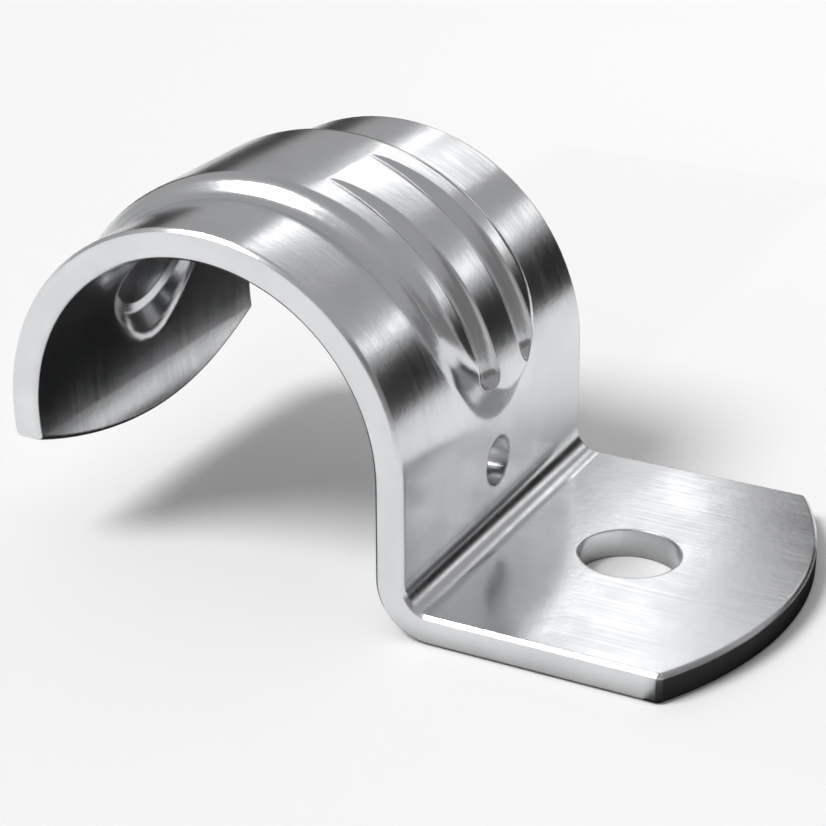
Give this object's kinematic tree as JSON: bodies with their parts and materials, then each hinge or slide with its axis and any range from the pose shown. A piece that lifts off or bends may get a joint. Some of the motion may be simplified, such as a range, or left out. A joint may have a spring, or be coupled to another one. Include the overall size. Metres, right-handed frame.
{
  "type": "conduit strap",
  "caption": "Pressed steel strap that hooks over a conduit and screws down by its foot, stiffened by a rib pressed along its back.",
  "frame": {"origin": "middle of the screw hole, on the face of the foot that lies on the wall", "axes": "+Z away from the wall, +X from the hook towards the foot's rounded end, Y along the conduit"},
  "size_m": [0.0478, 0.0254, 0.0241],
  "materials": {
    "zinc_plated_steel": "bright zinc plate, satin"
  },
  "bodies": {
    "root": {"strap": "zinc_plated_steel"}
  },
  "joints": []
}
